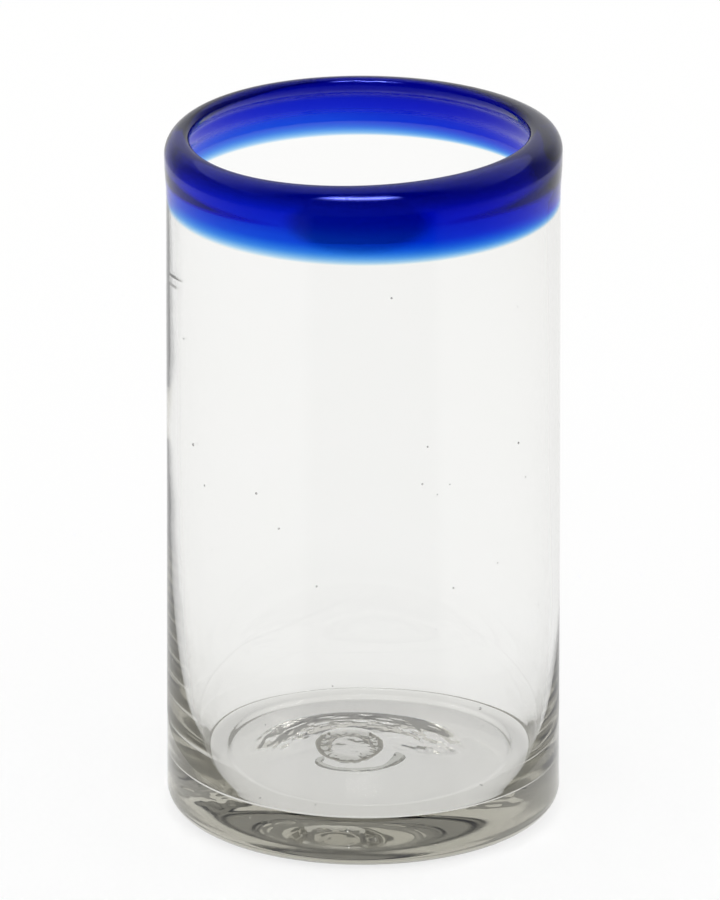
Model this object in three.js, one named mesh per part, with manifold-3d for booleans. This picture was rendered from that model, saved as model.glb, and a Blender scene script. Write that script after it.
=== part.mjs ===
// Hand-blown highball tumbler: a clear glass body, a cobalt lip wrap fused onto its
// upper edge, and the bit of glass that the pontil left under its base.
// Millimetres, +Z up, origin on the table at the middle of the foot ring.
import * as THREE from 'three';
import { mergeVertices } from 'three/addons/utils/BufferGeometryUtils.js';
import Module from 'manifold-3d';

// Driving dimensions of the vessel
const height = 153; // table to the crest of the lip
const shoulderRadius = 42; // outside of the wall where the cobalt begins
const footFlare = 0.6; // how much wider the wall is just above the heel
const wallThickness = 2.5; // clear wall above the heavy base
const heelRadius = 4.6; // rounding between the foot ring and the wall

// Heavy base and the cavity's rounded corner
const baseThickness = 7.1; // glass between the push-up and the inside floor
const dishRadius = 31.6; // soft step around the middle of the floor
const dishStep = 2.4; // width of that step
const dishDepth = 0.5; // from the floor's brim down to its middle
const brimRadius = 34.8; // flat brim of the floor, up to the wall's rounding
const hipHeight = 2.4; // brim to the hip, where the wall turns in to the floor
const hipThickness = 5.2; // wall at the hip
const hipLean = 2.2; // the hip's slope: this much outwards
const hipRise = 8; // for this much upwards
const taperHeight = 39.6; // brim to where the wall has its even thickness
const taperEase = 0.4; // share of that taper over which the wall still runs straight
const cornerTightness = 0.25; // share of the hip's slope used by the rounding under it

// Push-up under the base, with the flat foot ring left around it
const kickHeight = 2.8;
const footRingWidth = 8.5;

// Cobalt lip wrap
const lipShoulder = 4.8; // big rounding on the outside of the bead
const lipEdge = 1.6; // small rounding at the mouth
const lipBulge = 0.4; // how far the bead stands out past the wall
const beadDrop = 4.4; // small rounding to the throat, where the bead's inside ends
const throatThickness = 4.2; // cobalt wall under the bead
const throatHeight = 10.2; // small rounding to the cobalt's edge inside
const lapHeight = 4.2; // how much lower the cobalt runs outside than inside

// Pontil scar: a broken ring of glass with a curled tail
const craterRadius = 4.8; // hollow in the middle, where the iron was
const craterDepth = 1.1;
const ringWidth = 3.2;
const ringStretch = 1.38; // the ring is longer from front to back than it is wide
const tailReach = 5.2; // how far the curled tail stands out past the ring on the right
const tailSag = 5.4; // and past it at the front
const tailRadius = 0.8;
const tailTipRise = 0.6; // the tip's distance to the front, as a share of the ring's half length
const scarOffsetX = -3.6; // the pontil was stuck off centre
const scarOffsetY = 8;
const tableClearance = 0.9; // the scar stays this far off the table
const seatMargin = 1; // flat of the push-up left around the scar
const tailGap = 0.3; // under the flat, where the tail isn't fused to it

// Fineness of the facets
const turnSegments = 56;
const curveSteps = 8;
const lipSteps = 5;
const scarSegments = 24;
const scarSteps = 3;
const tailSides = 4;
const tailSteps = 10;

// Places worked out from the sizes above
const footRadius = shoulderRadius + footFlare;
const lipRadius = shoulderRadius + lipBulge;
const crestRadius = lipRadius - lipShoulder;
const mouthRadius = crestRadius - lipEdge;
const shoulderZ = height - lipShoulder;
const edgeZ = height - lipEdge;
const throatRadius = lipRadius - throatThickness;
const throatZ = edgeZ - beadDrop;
const seamInsideZ = edgeZ - throatHeight;
const seamOutsideZ = seamInsideZ - lapHeight;
const floorZ = kickHeight + baseThickness;
const brimZ = floorZ + dishDepth;
const hipZ = brimZ + hipHeight;
const taperTopZ = brimZ + taperHeight;
const footFlatRadius = footRadius - heelRadius;
const kickRadius = footFlatRadius - footRingWidth;
const scarRadius = craterRadius + ringWidth;
const scarThickness = kickHeight - tableClearance;
const scarHalfLength = scarRadius * ringStretch;
const seatRadius = Math.hypot(scarOffsetX, scarOffsetY) + scarHalfLength + seatMargin;

// The outside wall is straight and narrows a little from the heel to the cobalt.
function outsideRadius(z) {
  const rise = (z - heelRadius) / (seamOutsideZ - heelRadius);
  return footRadius - footFlare * rise;
}

const insideRadius = (z) => outsideRadius(z) - wallThickness;

// The scarf where the two glasses are fused: both pieces use the same two points.
const seamOutside = new THREE.Vector2(shoulderRadius, seamOutsideZ);
const seamInside = new THREE.Vector2(insideRadius(seamInsideZ), seamInsideZ);

// A profile of (radius, height) turned about Z
function turned(profile, segments) {
  return new THREE.LatheGeometry(profile, segments).rotateX(Math.PI / 2);
}

function bodyProfile() {
  const line = new THREE.Path();
  line.moveTo(0, kickHeight);
  line.lineTo(seatRadius, kickHeight);
  const domeRadius = (seatRadius + kickRadius) / 2;
  line.bezierCurveTo(domeRadius, kickHeight, domeRadius, 0, kickRadius, 0);
  line.lineTo(footFlatRadius, 0);
  line.absarc(footFlatRadius, heelRadius, heelRadius, -Math.PI / 2, 0, false);
  line.lineTo(seamOutside.x, seamOutside.y);
  line.lineTo(seamInside.x, seamInside.y);
  const taperRadius = insideRadius(taperTopZ);
  line.lineTo(taperRadius, taperTopZ);
  const taperPullZ = taperTopZ - (taperTopZ - hipZ) * taperEase;
  const hipX = outsideRadius(hipZ) - hipThickness;
  line.bezierCurveTo(taperRadius, taperPullZ, hipX + hipLean, hipZ + hipRise, hipX, hipZ);
  const cornerX = hipX - hipLean * cornerTightness;
  const cornerZ = hipZ - hipRise * cornerTightness;
  const toeX = (hipX + brimRadius) / 2 + hipLean * cornerTightness;
  line.bezierCurveTo(cornerX, cornerZ, toeX, brimZ, brimRadius, brimZ);
  line.lineTo(dishRadius + dishStep / 2, brimZ);
  line.bezierCurveTo(dishRadius, brimZ, dishRadius, floorZ, dishRadius - dishStep / 2, floorZ);
  line.lineTo(0, floorZ);
  return line.getPoints(curveSteps);
}

function lipProfile() {
  const line = new THREE.Path();
  line.moveTo(seamOutside.x, seamOutside.y);
  const bulgeZ = (seamOutsideZ + shoulderZ) / 2;
  line.bezierCurveTo(seamOutside.x, bulgeZ, lipRadius, bulgeZ, lipRadius, shoulderZ);
  line.absarc(crestRadius, shoulderZ, lipShoulder, 0, Math.PI / 2, false);
  line.absarc(crestRadius, edgeZ, lipEdge, Math.PI / 2, Math.PI, false);
  const rollZ = (edgeZ + throatZ) / 2;
  line.bezierCurveTo(mouthRadius, rollZ, throatRadius, rollZ, throatRadius, throatZ);
  const flareZ = (throatZ + seamInsideZ) / 2;
  line.bezierCurveTo(throatRadius, flareZ, seamInside.x, flareZ, seamInside.x, seamInside.y);
  line.lineTo(seamOutside.x, seamOutside.y);
  return line.getPoints(lipSteps);
}

// Closed geometry to a solid and back, for the one join that the scar needs
const wasm = await Module();
wasm.setup();

function toSolid(geometry) {
  const bare = geometry.clone().deleteAttribute('normal').deleteAttribute('uv');
  const merged = mergeVertices(bare, 1e-3);
  return new wasm.Manifold(
    new wasm.Mesh({
      numProp: 3,
      vertProperties: merged.attributes.position.array,
      triVerts: new Uint32Array(merged.index.array),
    }),
  );
}

function toGeometry(solid) {
  const mesh = solid.getMesh();
  const geometry = new THREE.BufferGeometry();
  geometry.setAttribute('position', new THREE.BufferAttribute(mesh.vertProperties, 3));
  geometry.setIndex(new THREE.BufferAttribute(mesh.triVerts, 1));
  return geometry;
}

// The scar hangs under the push-up: its z runs down from 0 at the flat.
function scarRing() {
  const rounding = Math.min(scarThickness, ringWidth) / 2;
  const craterZ = craterDepth - scarThickness;
  const line = new THREE.Path();
  line.moveTo(0, craterZ);
  line.lineTo(craterRadius, craterZ);
  line.quadraticCurveTo(craterRadius, -scarThickness, craterRadius + rounding, -scarThickness);
  line.lineTo(scarRadius - rounding, -scarThickness);
  line.quadraticCurveTo(scarRadius, -scarThickness, scarRadius, rounding - scarThickness);
  line.lineTo(scarRadius, 0);
  line.lineTo(0, 0);
  return turned(line.getPoints(scarSteps), scarSegments).scale(1, ringStretch, 1);
}

// The tail leaves the ring at the left, passes in front of it and curls up on the right.
function scarTail() {
  const ringMiddle = scarRadius - ringWidth / 2;
  const tailZ = -tailGap - tailRadius;
  const tipX = scarRadius + tailReach - tailRadius;
  const frontY = tailRadius - scarHalfLength - tailSag;
  const startX = -ringMiddle * Math.SQRT1_2;
  const start = new THREE.Vector3(startX, startX * ringStretch, tailZ);
  const sag = new THREE.Vector3(0, frontY, tailZ);
  const turn = new THREE.Vector3(scarRadius, (frontY - scarHalfLength) / 2, tailZ);
  const end = new THREE.Vector3(tipX, -scarHalfLength * tailTipRise, tailZ);
  const section = new THREE.Shape().absarc(0, 0, tailRadius, 0, 2 * Math.PI, false);
  return new THREE.ExtrudeGeometry(section, {
    steps: tailSteps,
    curveSegments: tailSides,
    extrudePath: new THREE.CatmullRomCurve3([start, sag, turn, end]),
  });
}

const clearGlass = new THREE.MeshStandardMaterial({ color: 0xeef2ef, roughness: 0.03, metalness: 0 });
const cobaltGlass = new THREE.MeshStandardMaterial({ color: 0x0a1fb4, roughness: 0.03, metalness: 0 });
const brokenGlass = new THREE.MeshStandardMaterial({ color: 0xdfe3df, roughness: 0.3, metalness: 0 });

function piece(name, geometry, material) {
  const mesh = new THREE.Mesh(geometry, material);
  mesh.name = name;
  return mesh;
}

const glass = new THREE.Group();
glass.add(piece('clear_body', turned(bodyProfile(), turnSegments), clearGlass));
glass.add(piece('cobalt_rim', turned(lipProfile(), turnSegments), cobaltGlass));

const scarSolid = toSolid(scarRing()).add(toSolid(scarTail()));
const scar = piece('pontil_scar', toGeometry(scarSolid), brokenGlass);
scar.position.set(scarOffsetX, scarOffsetY, kickHeight);
glass.add(scar);

export default glass;
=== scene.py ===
import math

import bmesh
import bpy
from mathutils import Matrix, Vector, noise


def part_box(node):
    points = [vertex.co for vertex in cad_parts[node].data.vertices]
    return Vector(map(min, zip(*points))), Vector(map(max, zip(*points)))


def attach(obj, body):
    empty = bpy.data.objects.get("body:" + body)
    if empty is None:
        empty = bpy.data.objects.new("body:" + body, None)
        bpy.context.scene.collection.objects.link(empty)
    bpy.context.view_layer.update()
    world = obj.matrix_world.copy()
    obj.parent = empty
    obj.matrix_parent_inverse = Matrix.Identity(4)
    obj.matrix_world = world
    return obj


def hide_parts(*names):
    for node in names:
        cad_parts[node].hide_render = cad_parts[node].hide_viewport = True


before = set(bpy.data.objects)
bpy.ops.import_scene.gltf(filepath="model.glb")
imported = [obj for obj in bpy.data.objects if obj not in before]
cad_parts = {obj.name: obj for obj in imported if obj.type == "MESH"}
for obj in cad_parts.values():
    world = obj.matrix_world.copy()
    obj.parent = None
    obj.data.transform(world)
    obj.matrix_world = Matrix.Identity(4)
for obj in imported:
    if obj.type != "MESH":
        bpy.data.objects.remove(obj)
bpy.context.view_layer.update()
mm = 0.001

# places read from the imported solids
bodyLow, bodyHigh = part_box("clear_body")
rimLow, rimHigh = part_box("cobalt_rim")
scarLow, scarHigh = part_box("pontil_scar")
crestZ = rimHigh.z  # highest point of the lip
seamOutZ = rimLow.z  # lower edge of the cobalt, outside
seamInZ = bodyHigh.z  # lower edge of the cobalt, inside
lipRadius = rimHigh.x
footRadius = bodyHigh.x
seatZ = scarHigh.z  # flat of the push-up
print("frame: crest", round(crestZ / mm, 1), "mm, foot radius", round(footRadius / mm, 1), "mm")


def smooth(t):
    t = min(max(t, 0.0), 1.0)
    return t * t * (3 - 2 * t)


def bezier(p0, p1, p2, p3, steps):
    points = []
    for i in range(1, steps + 1):
        t = i / steps
        s = 1 - t
        weights = (s * s * s, 3 * s * s * t, 3 * s * t * t, t * t * t)
        points.append(tuple(sum(w * p[k] for w, p in zip(weights, (p0, p1, p2, p3))) for k in (0, 1)))
    return points


def straight(p0, p1, steps):
    return [tuple(p0[k] + (p1[k] - p0[k]) * i / steps for k in (0, 1)) for i in range(1, steps + 1)]


def arc(centre, radius, start, end, steps):
    angles = [math.radians(start + (end - start) * i / steps) for i in range(1, steps + 1)]
    return [(centre[0] + radius * math.cos(t), centre[1] + radius * math.sin(t)) for t in angles]


def meshObject(name, bm):
    mesh = bpy.data.meshes.new(name)
    bm.to_mesh(mesh)
    bm.free()
    piece = bpy.data.objects.new(name, mesh)
    bpy.context.scene.collection.objects.link(piece)
    return piece


# how far the blown glass departs from a turned one
handwork = {
    "calmZ": 85.0 * mm,  # below this the rings lie level
    "seamDip": 0.9 * mm,  # the cobalt hangs lower at the front
    "crestRise": 0.75 * mm,  # the lip rises right of the front and dips left of it
    "floorShift": 0.9 * mm,  # the cavity is off centre at the floor
    "mouthShift": -0.9 * mm,  # and the other way at the mouth
    "wave": 0.07 * mm,
    "waveAround": 1.3,
    "waveUp": 22.0,  # per metre of height
    "turns": 256,
}
turns = handwork["turns"]
angles = [2 * math.pi * i / turns for i in range(turns)]  # from the front (-Y) to the right


def seamLift(a):
    return -handwork["seamDip"] * math.cos(a)


def crestLift(a):
    bump = math.sin(a) * (1 + math.cos(a)) / 1.299  # 1 where it is highest
    return handwork["crestRise"] * (bump - 1)


def blown(r, z, a, inside):
    calm = handwork["calmZ"]
    lift = 0.0
    if z >= seamOutZ:
        share = min((z - seamOutZ) / (crestZ - seamOutZ), 1.0)
        lift = (1 - share) * seamLift(a) + share * crestLift(a)
    elif z > calm:
        lift = smooth((z - calm) / (seamOutZ - calm)) * seamLift(a)
    down = handwork["floorShift"] * (1 - smooth(z / calm))
    up = handwork["mouthShift"] * smooth((z - calm) / (crestZ - calm))
    side = inside * (down + up)
    if r > vessel["brimRadius"] / 2 and z > vessel["heel"]:
        k = handwork["waveAround"] * (1 + 0.6 * inside)
        spot = Vector((k * math.sin(a), k * math.cos(a), z * handwork["waveUp"] + 7 * inside))
        r += handwork["wave"] * (noise.noise(spot) - 0.5 * (1 - inside))
    return Vector((r * math.sin(a) + side, -r * math.cos(a), z + lift))


def ring(r, z, inside=0.0):
    if r < 1e-7:
        return [blown(0, z, 0, inside)]
    return [blown(r, z, a, inside) for a in angles]


def loft(bm, rings, closedLoop=False):
    # each ring is (points, fused): fused faces up to the next ring join another glass
    skin = bm.faces.layers.float.get("skin") or bm.faces.layers.float.new("skin")
    made = [[bm.verts.new(p) for p in points] for points, fused in rings]
    around = max(len(row) for row in made)
    pairs = list(zip(range(len(made)), range(1, len(made))))
    if closedLoop:
        pairs.append((len(made) - 1, 0))
    faces = []
    for low, high in pairs:
        below, above = made[low], made[high]
        for i in range(around):
            j = (i + 1) % around
            corners = [below[i % len(below)], below[j % len(below)], above[j % len(above)], above[i % len(above)]]
            face = bm.faces.new(list(dict.fromkeys(corners)))
            face.smooth = True
            face[skin] = 0.0 if rings[low][1] else 1.0
            faces.append(face)
    bmesh.ops.recalc_face_normals(bm, faces=faces)
    for edge in bm.edges:
        edge.smooth = len({face[skin] for face in edge.link_faces}) == 1
    return faces


def strand(bm, path, radii, sides, tallest=1.0):
    # rod along a path, flattened where it is wider than it may be tall, closed by a point at each end
    rings = [([path[0]], False)]
    for i in range(1, len(path) - 1):
        along = (path[i + 1] - path[i - 1]).normalized()
        across = along.cross(Vector((0, 0, 1))).normalized()
        across, lift = radii[i] * across, min(radii[i], tallest) * across.cross(along)
        turn = [2 * math.pi * k / sides for k in range(sides)]
        rings.append(([path[i] + math.cos(t) * across + math.sin(t) * lift for t in turn], False))
    rings.append(([path[-1]], False))
    return loft(bm, rings)


def curve(points, steps):
    # smooth line through the points
    ends = [2 * points[0] - points[1]] + points + [2 * points[-1] - points[-2]]
    line = []
    for p0, p1, p2, p3 in zip(ends, ends[1:], ends[2:], ends[3:]):
        for i in range(steps):
            t = i / steps
            bend = 2 * p0 - 5 * p1 + 4 * p2 - p3
            twist = 3 * (p1 - p2) + p3 - p0
            line.append(0.5 * (2 * p1 + (p2 - p0) * t + bend * t * t + twist * t * t * t))
    return line + [points[-1]]


# surface shared by the three glasses: slow ripple, haze with scuffs near the table, streaks of colour
def blownSurface():
    group = bpy.data.node_groups.new("blownSurface", "ShaderNodeTree")
    sockets = group.interface
    for name, kind, value in (("Ripple Scale", "Float", 55.0), ("Haze", "Float", 0.01), ("Scuff", "Float", 0.2),
                              ("Scuff Height", "Float", 0.8 * mm), ("Streak", "Color", (1, 1, 1, 1)),
                              ("Streak Amount", "Float", 0.3)):
        socket = sockets.new_socket(name, in_out="INPUT", socket_type="NodeSocket" + kind)
        socket.default_value = value
    for name, kind in (("Ripple", "Float"), ("Haze", "Float"), ("Tint", "Color")):
        sockets.new_socket(name, in_out="OUTPUT", socket_type="NodeSocket" + kind)
    nodes, links = group.nodes, group.links
    given = nodes.new("NodeGroupInput")
    result = nodes.new("NodeGroupOutput")
    place = nodes.new("ShaderNodeTexCoord")

    squeeze = nodes.new("ShaderNodeMapping")  # ripples run around the glass
    squeeze.inputs["Scale"].default_value = (0.45, 0.45, 1.0)
    links.new(place.outputs["Object"], squeeze.inputs["Vector"])
    ripple = nodes.new("ShaderNodeTexNoise")
    ripple.inputs["Detail"].default_value = 1.0
    links.new(squeeze.outputs["Vector"], ripple.inputs["Vector"])
    links.new(given.outputs["Ripple Scale"], ripple.inputs["Scale"])
    links.new(ripple.outputs["Fac"], result.inputs["Ripple"])

    bloom = nodes.new("ShaderNodeTexNoise")  # faint uneven haze of the fire polish
    bloom.inputs["Scale"].default_value = 140.0
    links.new(place.outputs["Object"], bloom.inputs["Vector"])
    uneven = nodes.new("ShaderNodeMath")
    uneven.operation = "MULTIPLY"
    links.new(bloom.outputs["Fac"], uneven.inputs[0])
    links.new(given.outputs["Haze"], uneven.inputs[1])
    height = nodes.new("ShaderNodeSeparateXYZ")
    links.new(place.outputs["Object"], height.inputs["Vector"])
    low = nodes.new("ShaderNodeMapRange")  # wear on the foot ring alone
    low.inputs["From Min"].default_value = 0.0
    low.inputs["To Min"].default_value = 1.0
    low.inputs["To Max"].default_value = 0.0
    links.new(height.outputs["Z"], low.inputs["Value"])
    links.new(given.outputs["Scuff Height"], low.inputs["From Max"])
    rub = nodes.new("ShaderNodeTexNoise")
    rub.inputs["Scale"].default_value = 900.0
    rub.inputs["Detail"].default_value = 3.0
    links.new(place.outputs["Object"], rub.inputs["Vector"])
    worn = nodes.new("ShaderNodeMath")
    worn.operation = "MULTIPLY"
    links.new(low.outputs["Result"], worn.inputs[0])
    links.new(rub.outputs["Fac"], worn.inputs[1])
    scuff = nodes.new("ShaderNodeMath")
    scuff.operation = "MULTIPLY_ADD"
    links.new(worn.outputs["Value"], scuff.inputs[0])
    links.new(given.outputs["Scuff"], scuff.inputs[1])
    links.new(uneven.outputs["Value"], scuff.inputs[2])
    links.new(scuff.outputs["Value"], result.inputs["Haze"])

    swirl = nodes.new("ShaderNodeTexNoise")  # cords of slightly different glass
    swirl.inputs["Scale"].default_value = 90.0
    swirl.inputs["Distortion"].default_value = 0.8
    links.new(squeeze.outputs["Vector"], swirl.inputs["Vector"])
    share = nodes.new("ShaderNodeMath")
    share.operation = "MULTIPLY"
    links.new(swirl.outputs["Fac"], share.inputs[0])
    links.new(given.outputs["Streak Amount"], share.inputs[1])
    tint = nodes.new("ShaderNodeMix")
    tint.data_type = "RGBA"
    tint.inputs["A"].default_value = (1, 1, 1, 1)
    links.new(share.outputs["Value"], tint.inputs["Factor"])
    links.new(given.outputs["Streak"], tint.inputs["B"])
    links.new(tint.outputs["Result"], result.inputs["Tint"])
    return group


surface = blownSurface()


def denseColour(tree, dense, tint, target):
    # colour that lies thicker towards one height, less of it behind, and in a patch
    nodes, links = tree.nodes, tree.links
    place = nodes.new("ShaderNodeTexCoord")
    spot = nodes.new("ShaderNodeSeparateXYZ")
    links.new(place.outputs["Object"], spot.inputs["Vector"])
    band = nodes.new("ShaderNodeMapRange")
    band.interpolation_type = "SMOOTHSTEP"
    band.inputs["From Min"].default_value, band.inputs["From Max"].default_value = dense["heights"]
    band.inputs["To Max"].default_value = dense["amount"]
    links.new(spot.outputs["Z"], band.inputs["Value"])
    amount = band.outputs["Result"]
    if "behind" in dense:
        behind = nodes.new("ShaderNodeMapRange")
        behind.inputs["From Min"].default_value, behind.inputs["From Max"].default_value = dense["behindY"]
        behind.inputs["To Min"].default_value = dense["amount"]
        behind.inputs["To Max"].default_value = dense["behind"]
        links.new(spot.outputs["Y"], behind.inputs["Value"])
        links.new(behind.outputs["Result"], band.inputs["To Max"])
    if "patch" in dense:
        patch = nodes.new("ShaderNodeMapping")
        patch.vector_type = "TEXTURE"
        patch.inputs["Location"].default_value = dense["patchMiddle"]
        patch.inputs["Scale"].default_value = dense["patchReach"]
        links.new(place.outputs["Object"], patch.inputs["Vector"])
        ball = nodes.new("ShaderNodeTexGradient")
        ball.gradient_type = "SPHERICAL"
        links.new(patch.outputs["Vector"], ball.inputs["Vector"])
        soft = nodes.new("ShaderNodeMapRange")
        soft.interpolation_type = "SMOOTHSTEP"
        soft.inputs["From Max"].default_value = 0.3  # share of the reach over which the patch fades
        soft.inputs["To Max"].default_value = dense["patch"]
        links.new(ball.outputs["Fac"], soft.inputs["Value"])
        most = nodes.new("ShaderNodeMath")
        most.operation = "MAXIMUM"
        links.new(soft.outputs["Result"], most.inputs[0])
        links.new(amount, most.inputs[1])
        amount = most.outputs["Value"]
    deeper = nodes.new("ShaderNodeMix")
    deeper.data_type = "RGBA"
    deeper.blend_type = "MULTIPLY"
    links.new(amount, deeper.inputs["Factor"])
    links.new(tint, deeper.inputs["A"])
    deeper.inputs["B"].default_value = (*dense["colour"], 1)
    links.new(deeper.outputs["Result"], target)


def glassMaterial(name, look):
    material = bpy.data.materials.new(name)
    material.use_nodes = True
    tree = material.node_tree
    nodes, links = tree.nodes, tree.links
    shader, output = nodes["Principled BSDF"], nodes["Material Output"]
    shader.inputs["Transmission Weight"].default_value = 1.0
    shader.inputs["IOR"].default_value = 1.51
    shader.inputs["Specular Tint"].default_value = (*look.get("gloss", (1, 1, 1)), 1)
    finish = nodes.new("ShaderNodeGroup")
    finish.node_tree = surface
    for key in ("Ripple Scale", "Haze", "Scuff", "Streak Amount"):
        finish.inputs[key].default_value = look[key]
    finish.inputs["Streak"].default_value = (*look["Streak"], 1)
    if "dense" in look:
        denseColour(tree, look["dense"], finish.outputs["Tint"], shader.inputs["Base Color"])
    else:
        links.new(finish.outputs["Tint"], shader.inputs["Base Color"])
    links.new(finish.outputs["Haze"], shader.inputs["Roughness"])
    bump = nodes.new("ShaderNodeBump")
    bump.inputs["Strength"].default_value = look["ripple"]
    bump.inputs["Distance"].default_value = 1.0 * mm
    links.new(finish.outputs["Ripple"], bump.inputs["Height"])
    links.new(bump.outputs["Normal"], shader.inputs["Normal"])
    skin = nodes.new("ShaderNodeAttribute")  # fused faces let light straight through
    skin.attribute_name = "skin"
    links.new(skin.outputs["Fac"], shader.inputs["Alpha"])
    volume = nodes.new("ShaderNodeVolumeAbsorption")
    most = max(look["absorbed"])
    volume.inputs["Color"].default_value = (*[1 - x / most for x in look["absorbed"]], 1)
    volume.inputs["Density"].default_value = most
    links.new(volume.outputs["Volume"], output.inputs["Volume"])
    return material


# clear body: wall, heavy base and the push-up under it
vessel = {
    "wallRadius": 42.0 * mm,  # outside, just under the cobalt
    "wall": 2.5 * mm,
    "heel": 4.6 * mm,
    "pushUp": {
        "middle": (-1.2 * mm, 2.2 * mm),  # of its edge at the foot ring
        "halfWidth": 25.8 * mm,
        "halfLength": (27.3 * mm, 28.4 * mm),  # in front and behind
        "round": (1.5, 2.4),  # how late it falls off in front and on the steep side
        "steep": 190.0,  # where the steep side is, in degrees from the front to the right
        "lumps": 0.1,  # on the steep side
        "scarRows": 24,
        "slopeRows": 34,
        "footRows": 6,
    },
    "floorZ": 9.9 * mm,
    "dish": (31.6 * mm, 2.4 * mm),  # soft step around the floor's middle: radius and width
    "brimZ": 10.6 * mm,
    "brimRadius": 36.3 * mm,
    "hipZ": 12.8 * mm,  # where the wall's inside turns in to the floor
    "hipWall": 5.2 * mm,
    "hipSlope": (2.2 * mm, 8.0 * mm),
    "taperTop": 50.0 * mm,  # below this the wall grows thicker
    "taperEase": 0.4,
    "corner": 0.25,
    "look": {"absorbed": (10.2, 10.6, 12.6), "ripple": 0.05, "Ripple Scale": 55.0, "Haze": 0.004, "Scuff": 0.2,
             "Streak": (0.985, 0.99, 0.98), "Streak Amount": 0.6},
}

# pontil scar: what was left when the iron was cracked off
scar = {
    "halfWidth": 8.0 * mm,
    "halfLength": 11.04 * mm,  # from front to back
    "ring": 1.9 * mm,  # how far the broken ring hangs down
    "crater": 0.7 * mm,
    "tail": 0.55 * mm,  # half the height of the flattened strand
    "tailWidth": 0.95 * mm,  # and half its width
    "tailKnob": 1.6 * mm,  # and of its fat end
    "tailPath": [(-5.8, -5.6), (-6.8, -9.8), (-3.4, -13.0), (1.6, -13.8), (6.4, -12.8), (9.6, -9.8), (11.2, -6.0),
                 (10.6, -3.4)],
    "look": {"absorbed": (60.0, 62.0, 68.0), "ripple": 0.45, "Ripple Scale": 420.0, "Haze": 0.1, "Scuff": 0.0,
             "Streak": (0.9, 0.91, 0.88), "Streak Amount": 0.8,
             # darker where it hangs down
             "dense": {"colour": (0.66, 0.67, 0.65), "heights": (2.1 * mm, 1.2 * mm), "amount": 0.8}},
}
scarMiddle = Vector((scarLow.x + scar["halfWidth"], scarHigh.y - scar["halfLength"], seatZ))


def outsideRadius(z):
    rise = (z - vessel["heel"]) / (seamOutZ - vessel["heel"])
    return footRadius + (vessel["wallRadius"] - footRadius) * rise


def insideRadius(z):
    return outsideRadius(z) - vessel["wall"]


seamOut = (vessel["wallRadius"], seamOutZ)
seamIn = (insideRadius(seamInZ), seamInZ)


def scarEdge(a):
    ragged = 0.96 + 0.04 * noise.noise(Vector((2.1 * math.sin(a), 2.1 * math.cos(a), 3.1)))
    return ragged * Vector((scar["halfWidth"] * math.sin(a), -scar["halfLength"] * math.cos(a), 0))


def pushUpFoot(a):
    v = vessel["pushUp"]
    length = v["halfLength"][0 if math.cos(a) > 0 else 1]
    return Vector((v["middle"][0] + v["halfWidth"] * math.sin(a), v["middle"][1] - length * math.cos(a), 0))


def slopeLumps(a, along):
    # streaks that run around the slope, coarse and fine
    coarse = noise.noise(Vector((3.6 * a, 7 * along, 2.7)))
    fine = noise.noise(Vector((8 * a, 17 * along, 8.1)))
    return vessel["pushUp"]["lumps"] * (coarse + 0.5 * fine) * math.sin(math.pi * (along - 1))


def pushUp(a, along):
    # spot on the underside, from the scar's middle (0) over its edge (1) to the foot ring (2);
    # the underside is highest where the pontil held it, so it falls off faster behind than in front
    edge = scarMiddle + scarEdge(a)
    spot = scarMiddle.lerp(edge, along) if along < 1 else edge.lerp(pushUpFoot(a), along - 1)
    flat = Vector((1, 1, 0))
    whole = ((pushUpFoot(a) - scarMiddle) * flat).length
    share = ((spot - scarMiddle) * flat).length / whole
    if along > 1:
        inner = ((edge - scarMiddle) * flat).length / whole
        share = inner + (1 - inner) * (along - 1)
        share += slopeLumps(a, along) * smooth(spot.y / (12 * mm))  # none in front
    front, back = vessel["pushUp"]["round"]
    behind = smooth((0.1 + math.cos(a - math.radians(vessel["pushUp"]["steep"]))) / 0.6)
    share = min(max(share, 0.0), 1.0)
    spot.z = seatZ * (1 - smooth(share ** (front + (back - front) * behind)))
    return spot


def pushUpRings(footFlat):
    scarRows, slopeRows, footRows = (vessel["pushUp"][key] for key in ("scarRows", "slopeRows", "footRows"))
    rings = [([pushUp(0, 0)], True)]
    for i in range(1, scarRows + 1):
        rings.append(([pushUp(a, i / scarRows) for a in angles], i < scarRows))
    for i in range(1, slopeRows + 1):
        rings.append(([pushUp(a, 1 + i / slopeRows) for a in angles], False))
    for i in range(1, footRows + 1):
        rings.append(([pushUpFoot(a).lerp(p, i / footRows) for a, p in zip(angles, ring(footFlat, 0))], False))
    return rings


def bodyRings():
    v = vessel
    footFlat = footRadius - v["heel"]
    under = arc((footFlat, v["heel"]), v["heel"], -90, 0, 14)
    under += straight(under[-1], seamOut, 56)[:-1]
    scarf = straight(seamOut, seamIn, 6)
    wallIn, taperTop, hipZ = insideRadius(v["taperTop"]), v["taperTop"], v["hipZ"]
    hipX = outsideRadius(hipZ) - v["hipWall"]
    leanX, leanZ = v["hipSlope"]
    inner = straight(seamIn, (wallIn, taperTop), 44)
    ease = taperTop - (taperTop - hipZ) * v["taperEase"]
    inner += bezier(inner[-1], (wallIn, ease), (hipX + leanX, hipZ + leanZ), (hipX, hipZ), 24)
    corner = (hipX - leanX * v["corner"], hipZ - leanZ * v["corner"])
    toe = (hipX + v["brimRadius"]) / 2
    brim, floorZ = v["brimZ"], v["floorZ"]
    inner += bezier((hipX, hipZ), corner, (toe, brim), (v["brimRadius"], brim), 20)
    step, half = v["dish"][0], v["dish"][1] / 2
    inner += straight(inner[-1], (step + half, brim), 2)
    inner += bezier(inner[-1], (step, brim), (step, floorZ), (step - half, floorZ), 14)
    inner += straight(inner[-1], (0, floorZ), 10)
    rings = pushUpRings(footFlat) + [(ring(r, z), False) for r, z in under] + [(ring(*seamOut), True)]
    for i, (r, z) in enumerate(scarf):
        rings.append((ring(r, z, (i + 1) / len(scarf)), i + 1 < len(scarf)))
    return rings + [(ring(r, z, 1.0), False) for r, z in inner]


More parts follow.
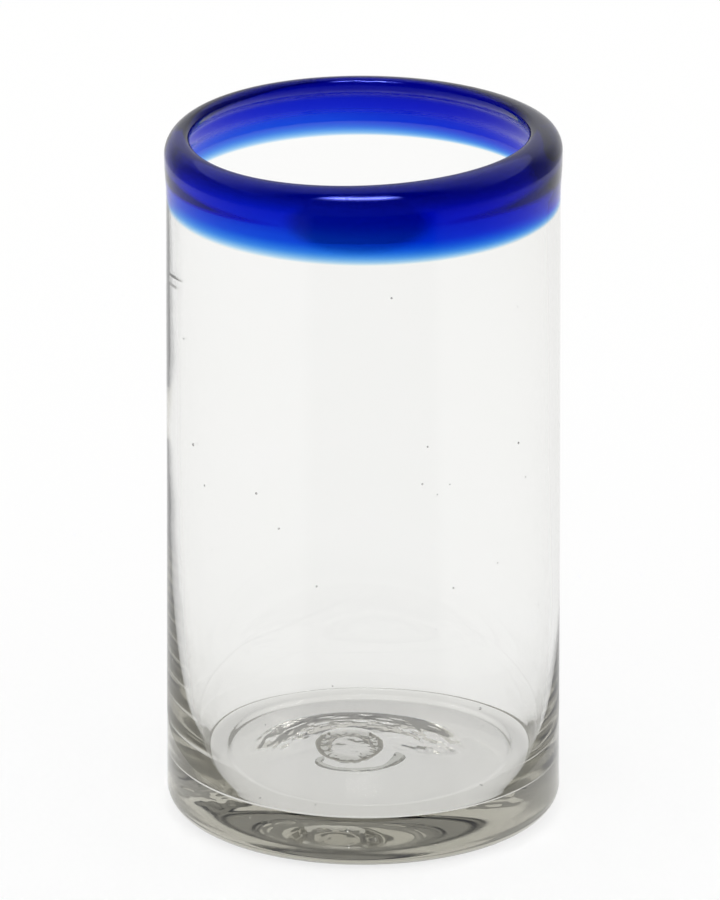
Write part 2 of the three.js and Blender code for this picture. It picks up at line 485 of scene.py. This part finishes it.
clearGlass = glassMaterial("clearGlass", vessel["look"])

# air seeds: most are strewn through the wall and base, some stand where the photo shows them
seeds = {
    "perArea": 1500.0,  # per square metre of wall
    "baseShare": 3.0,  # more of them in the base
    "smallest": 0.09 * mm,
    "largest": 0.26 * mm,
    "seed": 11,
    "seen": [  # angle from the front, depth in the wall, height, radius
        (-60, 1.2, 88.9, 0.34), (-33, 1.2, 83.0, 0.26), (-54, 1.2, 81.0, 0.22), (52, 1.2, 91.0, 0.28),
        (37, 2.0, 33.5, 0.3), (-4.8, 3.4, 8.5, 0.46), (-4.4, 3.2, 4.9, 0.4), (19, 1.2, 95.0, 0.2),
    ],
    "creases": [(-89, -66, 121.6, 124.0, 0.2), (-86, -70, 120.0, 121.4, 0.14)],  # angles, heights, radius
    "creaseDepth": 1.1 * mm,  # under the outside of the wall
}


def seedBed():
    bm = bmesh.new()
    size = bm.verts.layers.float.new("seedSize")
    rate = bm.verts.layers.float.new("seedRate")
    steps = 48
    around = [2 * math.pi * i / steps for i in range(steps)]
    # a sheet in the middle of the glass, from the base's middle up the wall
    rows = [(0.5 * mm, 6.2 * mm), (30.0 * mm, 6.2 * mm), (38.2 * mm, 7.5 * mm), (40.0 * mm, 18.0 * mm)]
    rows += [(insideRadius(z * mm) + vessel["wall"] / 2, z * mm) for z in (40, 70, 100, 131)]
    grid = []
    for i, (r, z) in enumerate(rows):
        made = [bm.verts.new((r * math.sin(a), -r * math.cos(a), z)) for a in around]
        for v in made:
            v[rate] = 1.0 if i < 3 else 1 / seeds["baseShare"]  # the first three rows are the base
        grid.append(made)
    for low, high in zip(grid, grid[1:]):
        for i in range(steps):
            j = (i + 1) % steps
            bm.faces.new((low[i], low[j], high[j], high[i]))
    for degrees, deep, z, radius in seeds["seen"]:
        a = math.radians(degrees)
        r = outsideRadius(max(z * mm, vessel["heel"])) - deep * mm
        bm.verts.new((r * math.sin(a), -r * math.cos(a), z * mm))[size] = radius * mm
    return meshObject("seed_bed", bm)


def seedTree():
    tree = bpy.data.node_groups.new("airSeeds", "GeometryNodeTree")
    sockets = tree.interface
    sockets.new_socket("Bed", in_out="INPUT", socket_type="NodeSocketGeometry")
    for name, kind in (("Per Area", "Float"), ("Smallest", "Float"), ("Largest", "Float"), ("Seed", "Int")):
        sockets.new_socket(name, in_out="INPUT", socket_type="NodeSocket" + kind)
    sockets.new_socket("Seeds", in_out="OUTPUT", socket_type="NodeSocketGeometry")
    nodes, links = tree.nodes, tree.links
    given = nodes.new("NodeGroupInput")
    result = nodes.new("NodeGroupOutput")
    strewn = nodes.new("GeometryNodeDistributePointsOnFaces")
    links.new(given.outputs["Bed"], strewn.inputs["Mesh"])
    links.new(given.outputs["Seed"], strewn.inputs["Seed"])
    rate = nodes.new("GeometryNodeInputNamedAttribute")
    rate.inputs["Name"].default_value = "seedRate"
    density = nodes.new("ShaderNodeMath")
    density.operation = "MULTIPLY"
    links.new(rate.outputs["Attribute"], density.inputs[0])
    links.new(given.outputs["Per Area"], density.inputs[1])
    links.new(density.outputs["Value"], strewn.inputs["Density"])
    spread = nodes.new("FunctionNodeRandomValue")
    links.new(given.outputs["Smallest"], spread.inputs[2])
    links.new(given.outputs["Largest"], spread.inputs[3])
    links.new(given.outputs["Seed"], spread.inputs["Seed"])
    bubble = nodes.new("GeometryNodeMeshIcoSphere")
    bubble.inputs["Radius"].default_value = 1.0
    bubble.inputs["Subdivisions"].default_value = 2
    size = nodes.new("GeometryNodeInputNamedAttribute")
    size.inputs["Name"].default_value = "seedSize"
    placed = nodes.new("GeometryNodeMeshToPoints")
    chosen = nodes.new("FunctionNodeCompare")
    chosen.operation = "GREATER_THAN"
    links.new(size.outputs["Attribute"], chosen.inputs[0])
    links.new(chosen.outputs["Result"], placed.inputs["Selection"])
    links.new(given.outputs["Bed"], placed.inputs["Mesh"])
    joined = nodes.new("GeometryNodeJoinGeometry")
    strewnSeeds = (strewn.outputs["Points"], spread.outputs[1])
    seenSeeds = (placed.outputs["Points"], size.outputs["Attribute"])
    for points, scale in (strewnSeeds, seenSeeds):
        copies = nodes.new("GeometryNodeInstanceOnPoints")
        links.new(points, copies.inputs["Points"])
        links.new(bubble.outputs["Mesh"], copies.inputs["Instance"])
        links.new(scale, copies.inputs["Scale"])
        links.new(copies.outputs["Instances"], joined.inputs["Geometry"])
    real = nodes.new("GeometryNodeRealizeInstances")
    links.new(joined.outputs["Geometry"], real.inputs["Geometry"])
    glass = nodes.new("GeometryNodeSetMaterial")
    glass.inputs["Material"].default_value = clearGlass
    links.new(real.outputs["Geometry"], glass.inputs["Geometry"])
    links.new(glass.outputs["Geometry"], result.inputs["Seeds"])
    return tree


def seedMesh():
    bed = seedBed()
    modifier = bed.modifiers.new("air seeds", "NODES")
    modifier.node_group = seedTree()
    values = {"Per Area": seeds["perArea"], "Smallest": seeds["smallest"], "Largest": seeds["largest"],
              "Seed": seeds["seed"]}
    for item in modifier.node_group.interface.items_tree:
        if item.in_out == "INPUT" and item.name in values:
            modifier[item.identifier] = values[item.name]
    bpy.context.view_layer.update()
    mesh = bpy.data.meshes.new_from_object(bed.evaluated_get(bpy.context.evaluated_depsgraph_get()))
    bpy.data.objects.remove(bed)
    return mesh


def addHollows(bm):
    # air inside the glass: closed shells whose faces point into the hollow
    skin = bm.faces.layers.float["skin"]
    before = set(bm.faces)
    bm.from_mesh(seedMesh())
    steps = 12
    for first, last, startZ, endZ, radius in seeds["creases"]:
        path, radii = [], []
        for i in range(steps + 1):
            t = i / steps
            a = math.radians(first + (last - first) * t)
            z = (startZ + (endZ - startZ) * t) * mm
            r = outsideRadius(z) - seeds["creaseDepth"]
            path.append(Vector((r * math.sin(a), -r * math.cos(a), z)))
            radii.append(radius * mm * math.sin(math.pi * t) ** 0.6)
        strand(bm, path, radii, 10)
    hollows = [face for face in bm.faces if face not in before]
    bmesh.ops.reverse_faces(bm, faces=hollows)
    for face in hollows:
        face[skin] = 1.0
        face.smooth = True
        face.material_index = 0
    return len(hollows)


bm = bmesh.new()
loft(bm, bodyRings())
hollowFaces = addHollows(bm)
body = meshObject("clear_glass_body", bm)
body.data.materials.clear()
body.data.materials.append(clearGlass)
print("clear body", len(body.data.polygons), "faces,", hollowFaces, "of them on seeds and creases")

# cobalt lip wrap
lip = {
    "shoulder": 4.8 * mm,  # big outer rounding of the bead
    "edge": 1.6 * mm,  # small rounding at the mouth
    "beadDrop": 4.4 * mm,  # from there to the throat, where the bead's inside ends
    "throatWall": 4.2 * mm,
    "fuseGap": 0.01 * mm,  # keeps two fused faces from lying in one plane
    "look": {"absorbed": (2660.0, 1200.0, 150.0), "ripple": 0.04, "Ripple Scale": 70.0, "Haze": 0.006, "Scuff": 0.0,
             "Streak": (0.7, 0.8, 0.9), "Streak Amount": 0.5, "gloss": (0.16, 0.2, 1.0),
             # deeper colour in a patch at the front and along the crest
             "dense": {"colour": (0.2, 0.25, 0.25), "heights": (145.5 * mm, 150.0 * mm), "amount": 0.9,
                       "behind": 0.4, "behindY": (-20.0 * mm, 25.0 * mm), "patch": 0.66,
                       "patchMiddle": (-1.0 * mm, -40.0 * mm, 144.8 * mm),
                       "patchReach": (17.5 * mm, 12.0 * mm, 7.2 * mm)}},
}


def rimRings():
    gap = lip["fuseGap"]
    shoulder, edge = lip["shoulder"], lip["edge"]
    crest = lipRadius - shoulder
    mouth = crest - edge
    start = (seamOut[0], seamOut[1] + gap)
    end = (seamIn[0], seamIn[1] + gap)
    bulge = (seamOutZ + crestZ - shoulder) / 2
    outer = bezier(start, (start[0], bulge), (lipRadius, bulge), (lipRadius, crestZ - shoulder), 20)
    bead = arc((crest, crestZ - shoulder), shoulder, 0, 90, 20)
    bead += arc((crest, crestZ - edge), edge, 90, 180, 12)
    narrow = (lipRadius - lip["throatWall"], crestZ - edge - lip["beadDrop"])
    roll = (crestZ - edge + narrow[1]) / 2
    flare = (narrow[1] + end[1]) / 2
    throat = bezier((mouth, crestZ - edge), (mouth, roll), (narrow[0], roll), narrow, 16)
    throat += bezier(narrow, (narrow[0], flare), (end[0], flare), end, 16)
    scarf = straight(end, start, 6)[:-1]
    rings = [(ring(*start), False)] + [(ring(r, z), False) for r, z in outer]
    rings += [(ring(r, z, smooth((lipRadius - r) / (lipRadius - mouth))), False) for r, z in bead]
    rings += [(ring(r, z, 1.0), i + 1 == len(throat)) for i, (r, z) in enumerate(throat)]
    return rings + [(ring(r, z, 1 - (i + 1) / (len(scarf) + 1)), True) for i, (r, z) in enumerate(scarf)]


bm = bmesh.new()
loft(bm, rimRings(), closedLoop=True)
rim = meshObject("cobalt_lip_wrap", bm)
rim.data.materials.append(glassMaterial("cobaltGlass", lip["look"]))
print("cobalt lip", len(rim.data.polygons), "faces")


def scarDepth(share, a):
    spot = scarEdge(a) * share / mm
    lumps = noise.noise(spot * 0.35) + 0.5 * noise.noise(spot * 0.9)
    hump = smooth((share - 0.5) / 0.26) * smooth((1 - share) / 0.2)
    deep = scar["crater"] * (1 + 0.12 * lumps) + (scar["ring"] - scar["crater"]) * hump * (0.72 + 0.75 * lumps)
    return min(deep, scar["ring"], pushUp(a, share).z - scarLow.z) * smooth((1 - share) / 0.14)


def scarRings():
    rows = vessel["pushUp"]["scarRows"]  # so that the fused faces lie on those of the body
    gap = Vector((0, 0, lip["fuseGap"]))
    rings = [([pushUp(0, 0) - gap], True)]
    for i in range(1, rows + 1):
        rings.append(([pushUp(a, i / rows) - gap for a in angles], i < rows))
    for i in range(rows - 1, 0, -1):
        share = i / rows
        rings.append(([pushUp(a, share) - gap - Vector((0, 0, scarDepth(share, a))) for a in angles], False))
    rings.append(([pushUp(0, 0) - gap - Vector((0, 0, scarDepth(0, 0)))], False))
    return rings


def scarTail(bm):
    down = scarLow.z + scar["tail"] - seatZ
    path = curve([scarMiddle + Vector((x * mm, y * mm, down)) for x, y in scar["tailPath"]], 8)
    last = len(path) - 1
    radii = []
    for i in range(last + 1):
        t = i / last
        wide = scar["tailWidth"] + (scar["tailKnob"] - scar["tailWidth"]) * smooth((t - 0.66) / 0.2)
        lumpy = 1 + 0.3 * noise.noise(Vector((9 * t, 0, 5.3)))
        radii.append(wide * lumpy * min(1.0, 7 * (1 - t), 12 * t) ** 0.5)
    return strand(bm, path, radii, 16, scar["tail"])


bm = bmesh.new()
loft(bm, scarRings())
scarTail(bm)
pontil = meshObject("broken_pontil_scar", bm)
pontil.data.materials.append(glassMaterial("brokenGlass", scar["look"]))
print("pontil scar", len(pontil.data.polygons), "faces")

for piece, node, slot in ((body, "clear_body", "clear_glass"), (rim, "cobalt_rim", "cobalt_glass"),
                          (pontil, "pontil_scar", "broken_glass")):
    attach(piece, "root")
    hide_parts(node)

# white table and backdrop, with the studio that only the outer reflections show
stage = {
    "floorSize": 6.0,
    "floorColor": (0.995, 0.995, 0.99),
    "floorDrop": 0.1 * mm,
    "tableEdge": 0.5,
    "wall": 1.6,  # distance of the studio's walls, and its height
    "shadow": 0.3,  # how much of the glass's shadow the white paper keeps
    "sky": 0.4,  # the surroundings above the table, as seen through the glass
    "skyRise": (0.08, 0.26),  # sines of the angles between which they turn darker
    "roofGlow": [(-180, 1.0), (-110, 1.0), (-60, 0.15), (60, 0.15), (110, 1.0), (180, 1.0)],
    # how bright the table and the walls are, by the angle from the front to the right
    "tableGlow": [(-180, 1.0), (-133, 0.65), (-90, 0.6), (-34, 0.5), (-28, 0.0), (38, 0.0), (44, 0.5), (90, 0.6),
                  (133, 0.65), (180, 1.0)],
    "wallGlow": [(-180, 0.7), (-155, 0.7), (-126, 0.2), (126, 0.2), (155, 0.7), (180, 0.7)],
    "lamp": {"distance": 1.4, "rows": [(47, 0.0), (55, 12.0), (59, 48.0), (63, 48.0), (67, 12.0), (76, 0.0)],
             "across": [(-60, 0.0), (-42, 0.0), (-25, 1.0), (13, 1.0), (30, 0.0), (60, 0.0)]},
}
bm = bmesh.new()
bmesh.ops.create_grid(bm, x_segments=1, y_segments=1, size=stage["floorSize"])
floor = meshObject("floor", bm)
floor.location.z = -stage["floorDrop"]
paper = bpy.data.materials.new("floorPaper")
paper.use_nodes = True
shader = paper.node_tree.nodes["Principled BSDF"]
shader.inputs["Base Color"].default_value = (*stage["floorColor"], 1)
shader.inputs["Roughness"].default_value = 0.9
shader.inputs["Specular IOR Level"].default_value = 0.0
nodes, links = paper.node_tree.nodes, paper.node_tree.links
path = nodes.new("ShaderNodeLightPath")  # to the eye, also through the glass, the paper is nearly white
seen = path.outputs["Is Camera Ray"]
for kind in ("Is Transmission Ray", "Is Glossy Ray"):
    either = nodes.new("ShaderNodeMath")
    either.operation = "MAXIMUM"
    links.new(seen, either.inputs[0])
    links.new(path.outputs[kind], either.inputs[1])
    seen = either.outputs["Value"]
share = nodes.new("ShaderNodeMath")
share.operation = "MULTIPLY"
links.new(seen, share.inputs[0])
share.inputs[1].default_value = 1 - stage["shadow"]
white = nodes.new("ShaderNodeEmission")
blend = nodes.new("ShaderNodeMixShader")
links.new(share.outputs["Value"], blend.inputs["Fac"])
links.new(shader.outputs["BSDF"], blend.inputs[1])
links.new(white.outputs["Emission"], blend.inputs[2])
links.new(blend.outputs["Shader"], nodes["Material Output"].inputs["Surface"])
floor.data.materials.append(paper)


def reflected(thing):
    # seen by outer reflections alone, so it neither lights the glass nor shows through it
    thing.visible_camera = False
    thing.visible_diffuse = False
    thing.visible_transmission = False
    thing.visible_volume_scatter = False
    thing.visible_shadow = False


def between(stops, x):
    for (x0, y0), (x1, y1) in zip(stops, stops[1:]):
        if x <= x1:
            return y0 + (y1 - y0) * (x - x0) / (x1 - x0)


def studioCard(name, rows, glow):
    # each row is (radius, height, share of the glow), turned about Z over the glow's angles
    bm = bmesh.new()
    bright = bm.verts.layers.float.new("glow")
    first, last = glow[0][0], glow[-1][0]
    steps = int((last - first) / 3)
    grid = []
    for r, z, share in rows:
        grid.append([])
        for i in range(steps + 1):
            degrees = first + (last - first) * i / steps
            a = math.radians(degrees)
            grid[-1].append(bm.verts.new((r * math.sin(a), -r * math.cos(a), z)))
            grid[-1][-1][bright] = share * between(glow, degrees)
    for low, high in zip(grid, grid[1:]):
        for i in range(steps):
            bm.faces.new((low[i], low[i + 1], high[i + 1], high[i]))
    card = meshObject(name, bm)
    material = bpy.data.materials.new(name)
    material.use_nodes = True
    nodes, links = material.node_tree.nodes, material.node_tree.links
    nodes.clear()
    light = nodes.new("ShaderNodeEmission")
    links.new(light.outputs["Emission"], nodes.new("ShaderNodeOutputMaterial").inputs["Surface"])
    painted = nodes.new("ShaderNodeAttribute")
    painted.attribute_name = "glow"
    links.new(painted.outputs["Fac"], light.inputs["Strength"])
    card.data.materials.append(material)
    reflected(card)


far, edge, low = stage["wall"], stage["tableEdge"], 0.5 * mm
studioCard("table_sheen", [(0.07, low, 1), (0.2, low, 1), (edge, low, 1)], stage["tableGlow"])
studioCard("studio_wall", [(edge, low, 1), (far, low, 1), (far, 0.7 * far, 1)], stage["wallGlow"])
studioCard("studio_roof", [(far, 0.7 * far, 1), (0.6 * far, far, 1), (0.01, far, 1)], stage["roofGlow"])
lamp = stage["lamp"]
lampRows = []
for degrees, share in lamp["rows"]:
    rise = math.radians(degrees)
    lampRows.append((lamp["distance"] * math.cos(rise), 0.15 + lamp["distance"] * math.sin(rise), share))
studioCard("soft_box", lampRows, lamp["across"])

world = bpy.data.worlds.new("studio")
world.use_nodes = True
bpy.context.scene.world = world
nodes, links = world.node_tree.nodes, world.node_tree.links
nodes["Background"].inputs["Color"].default_value = (1, 1, 1, 1)
place = nodes.new("ShaderNodeTexCoord")
height = nodes.new("ShaderNodeSeparateXYZ")
links.new(place.outputs["Generated"], height.inputs["Vector"])
dim = nodes.new("ShaderNodeMapRange")  # 0 at the table's level, more above it
dim.inputs["From Min"].default_value, dim.inputs["From Max"].default_value = stage["skyRise"]
dim.inputs["To Max"].default_value = 1 - stage["sky"]
links.new(height.outputs["Z"], dim.inputs["Value"])
path = nodes.new("ShaderNodeLightPath")
through = nodes.new("ShaderNodeMath")
through.operation = "MULTIPLY"
links.new(dim.outputs["Result"], through.inputs[0])
links.new(path.outputs["Is Transmission Ray"], through.inputs[1])
left = nodes.new("ShaderNodeMath")
left.operation = "SUBTRACT"
left.inputs[0].default_value = 1.0
links.new(through.outputs["Value"], left.inputs[1])
links.new(left.outputs["Value"], nodes["Background"].inputs["Strength"])
print("stage set")

# camera
view = {"elevation": 19.79, "distance": 2.10, "lens": 391.4, "aim": (-0.73 * mm, 0.0, 80.2 * mm)}
camera = bpy.data.objects.new("camera", bpy.data.cameras.new("camera"))
bpy.context.scene.collection.objects.link(camera)
tilt = math.radians(view["elevation"])
camera.location = Vector(view["aim"]) + view["distance"] * Vector((0, -math.cos(tilt), math.sin(tilt)))
camera.rotation_euler = (math.pi / 2 - tilt, 0, 0)
camera.data.lens = view["lens"]
camera.data.sensor_width = 36
camera.data.clip_end = 50
bpy.context.scene.camera = camera

scene = bpy.context.scene
scene.view_settings.view_transform = "Standard"
scene.cycles.max_bounces = 32
scene.cycles.transmission_bounces = 24
scene.cycles.diffuse_bounces = 12
scene.cycles.glossy_bounces = 24
scene.cycles.transparent_max_bounces = 24
scene.cycles.blur_glossy = 0.0  # light that bounces around in the base isn't blurred away
